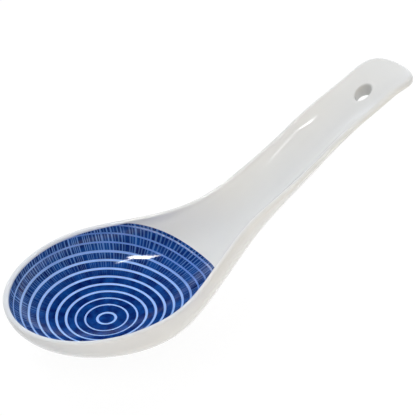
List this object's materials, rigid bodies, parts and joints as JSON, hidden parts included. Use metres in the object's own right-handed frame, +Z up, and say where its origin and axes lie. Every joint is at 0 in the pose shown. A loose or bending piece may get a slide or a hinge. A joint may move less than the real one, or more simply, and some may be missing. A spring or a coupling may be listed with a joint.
{
  "type": "soup spoon",
  "caption": "One-piece glazed porcelain soup spoon with a deep flat-footed oval bowl, a hollowed handle with a hanging hole, and concentric blue bands in the bowl.",
  "frame": {"origin": "middle of the flat foot, on the surface that the spoon stands on", "axes": "+X from the foot along the spoon to the tip of its handle, +Z up"},
  "size_m": [0.1271, 0.0506, 0.0484],
  "materials": {
    "porcelain": "clear gloss glaze over white porcelain, bare on the foot",
    "cobalt_print": "cobalt blue printed under the same clear glaze"
  },
  "bodies": {
    "root": {"spoon_body": "porcelain", "print_dot": "cobalt_print", "print_band_1": "cobalt_print", "print_band_2": "cobalt_print", "print_band_3": "cobalt_print", "print_band_4": "cobalt_print", "print_band_5": "cobalt_print", "print_band_6": "cobalt_print", "print_band_7": "cobalt_print", "print_band_8": "cobalt_print", "print_band_9": "cobalt_print", "print_band_10": "cobalt_print", "print_band_11": "cobalt_print", "print_band_12": "cobalt_print"}
  },
  "joints": []
}
